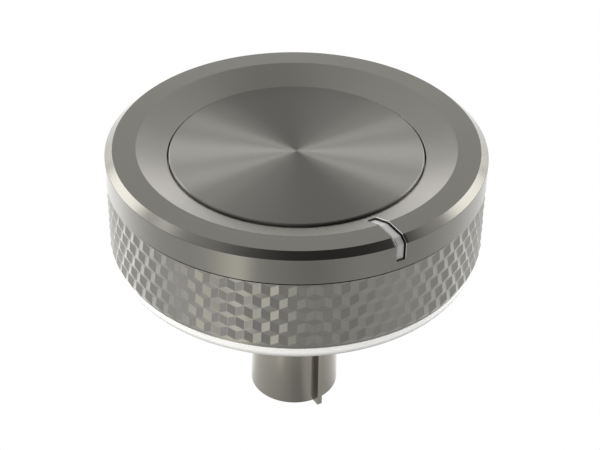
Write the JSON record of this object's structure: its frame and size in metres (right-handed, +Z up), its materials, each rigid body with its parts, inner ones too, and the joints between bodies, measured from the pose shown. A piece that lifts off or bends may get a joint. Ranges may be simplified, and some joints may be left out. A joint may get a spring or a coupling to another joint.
{
  "type": "control knob",
  "caption": "Round control knob with a dished brushed face, faceted metal grip, white light ring, sunk pointer and a keyed stem bored for a D-shaft.",
  "frame": {"origin": "centre of the stem's foot, at the mouth of the shaft bore", "axes": "+Z up along the stem to the face; the pointer and the key rib are on the -Y side"},
  "size_m": [0.056, 0.056, 0.0446],
  "materials": {
    "cap_metal": "gunmetal anodised, fine turned, with a polished chamfer",
    "disc_metal": "gunmetal anodised, spun-brushed",
    "adhesive": "matt double-sided pad",
    "pointer_plastic": "light grey translucent",
    "grip_metal": "gunmetal anodised, satin facets",
    "opal_plastic": "white translucent",
    "stem_metal": "gunmetal anodised, semi-gloss",
    "spring_steel": "bright",
    "screw_steel": "zinc plated"
  },
  "bodies": {
    "root": {"top_cap": "cap_metal", "centre_disc": "disc_metal", "disc_pad": "adhesive", "pointer_insert": "pointer_plastic", "grip_sleeve": "grip_metal", "light_ring": "opal_plastic", "stem_hub": "stem_metal", "shaft_spring": "spring_steel", "hub_screws": "screw_steel"}
  },
  "joints": []
}
